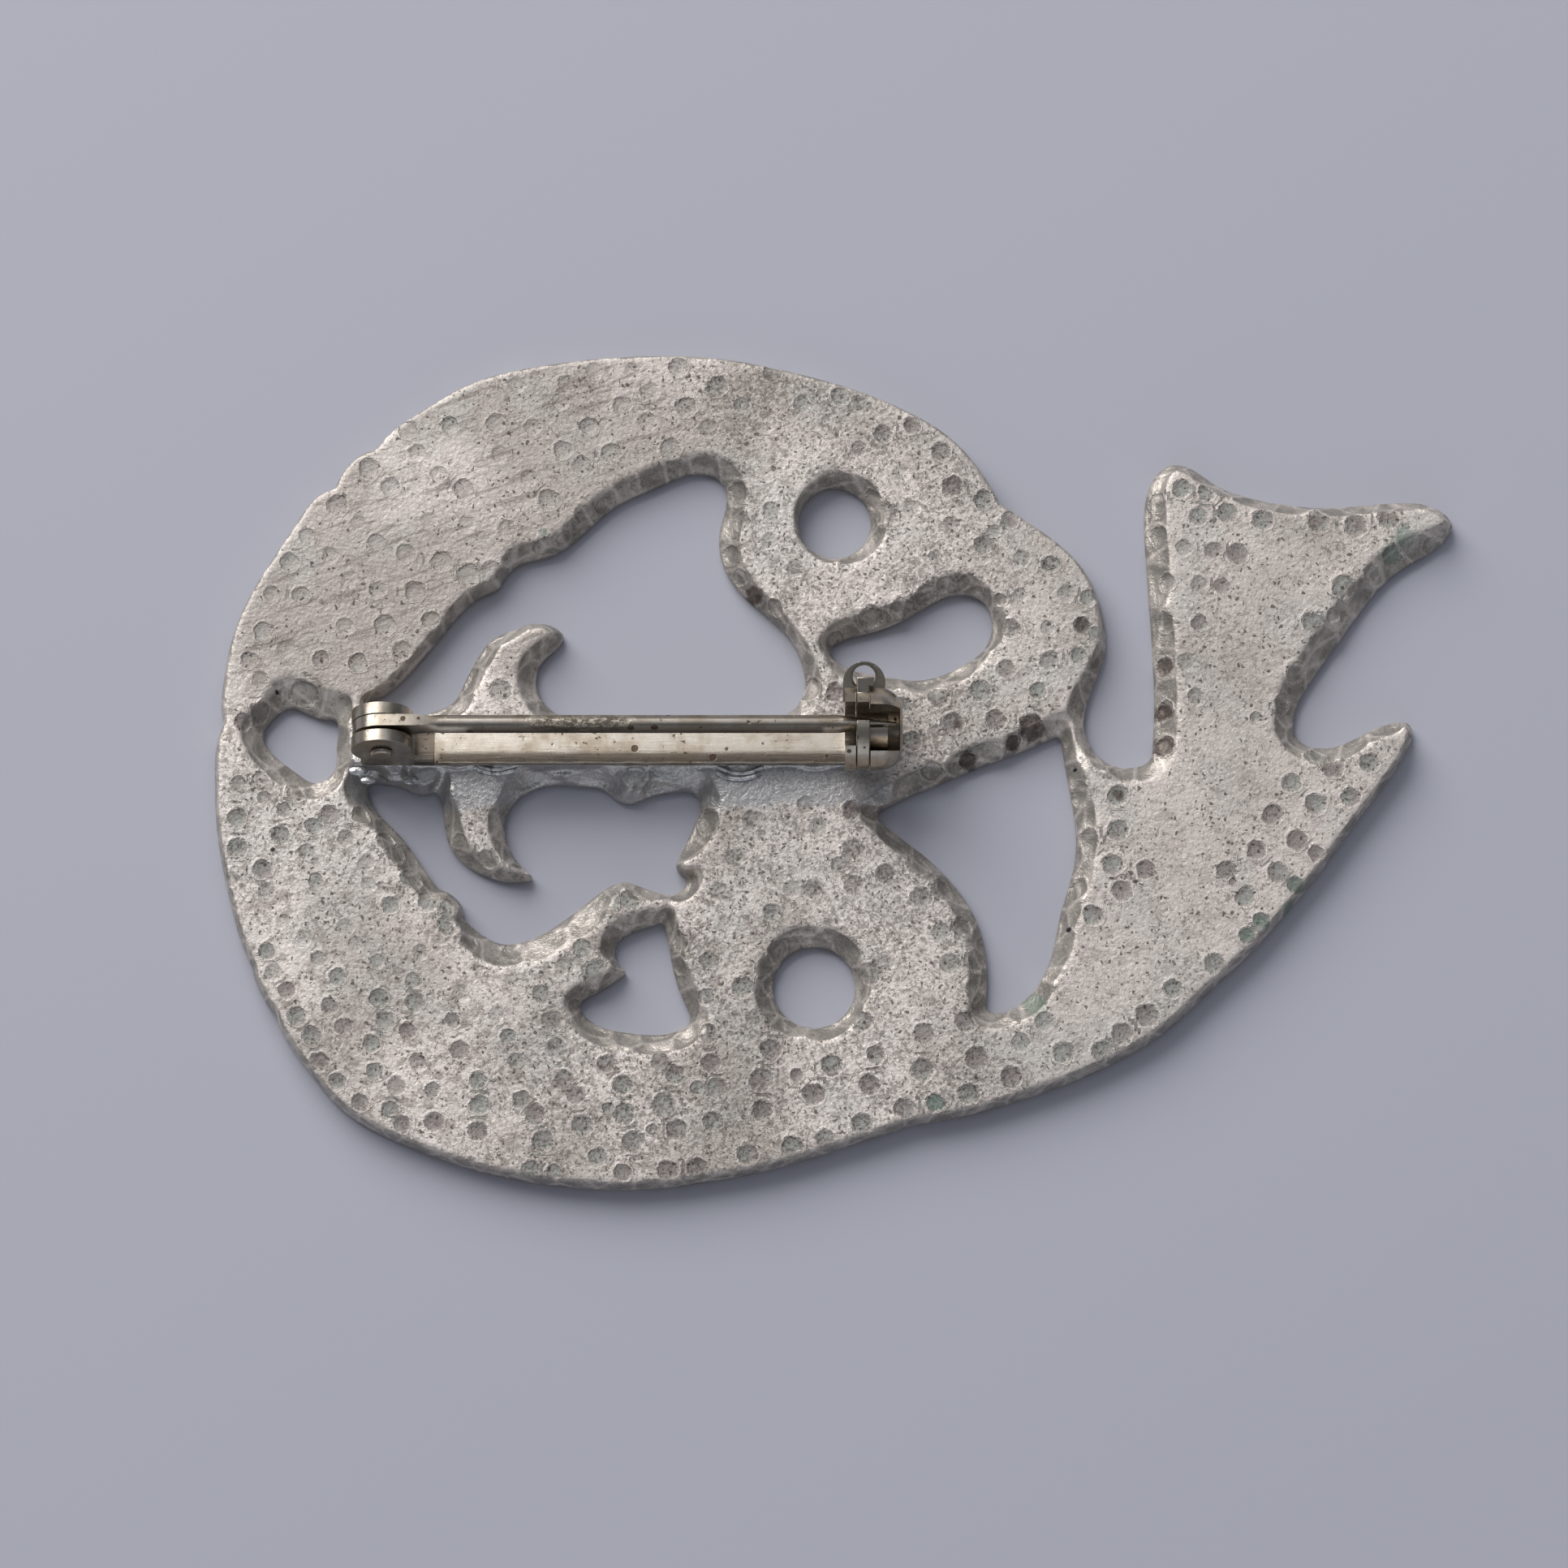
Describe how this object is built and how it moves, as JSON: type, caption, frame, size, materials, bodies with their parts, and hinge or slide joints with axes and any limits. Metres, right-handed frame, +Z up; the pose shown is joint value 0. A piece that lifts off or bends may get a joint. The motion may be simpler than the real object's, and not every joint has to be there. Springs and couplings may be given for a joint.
{
  "type": "pewter brooch",
  "caption": "Pierced cast pewter brooch of a curled sea beast with a fish tail, lying on its flat front, with a locking bar pin across the dimpled back.",
  "frame": {"origin": "middle of the plate's box, on the surface that the flat front lies on", "axes": "+X along the length towards the fish tail, +Y across it towards the figure's upper edge, +Z up out of the back with the pin"},
  "size_m": [0.0729, 0.0498, 0.0075],
  "materials": {
    "pewter": "cast, dimpled, brushed and dulled",
    "nickel_silver": "stamped, satin, lightly tarnished"
  },
  "bodies": {
    "brooch": {"plate": "pewter", "base_bar": "nickel_silver", "hinge_rivet": "nickel_silver", "catch_housing": "nickel_silver"},
    "pin": {"pin": "nickel_silver"},
    "catch_ring": {"catch_ring": "nickel_silver"}
  },
  "joints": [
    {"name": "pin_hinge", "type": "hinge", "parent": "brooch", "child": "pin", "pos_m": [-0.02645, 0.00134, 0.00435], "axis": [0, -0.9877, 0.1564], "range_deg": [0, 95]},
    {"name": "catch_turn", "type": "hinge", "parent": "brooch", "child": "catch_ring", "pos_m": [0.0018, 0.0013, 0.00523], "axis": [1, 0, 0], "range_deg": [0, 110]}
  ]
}
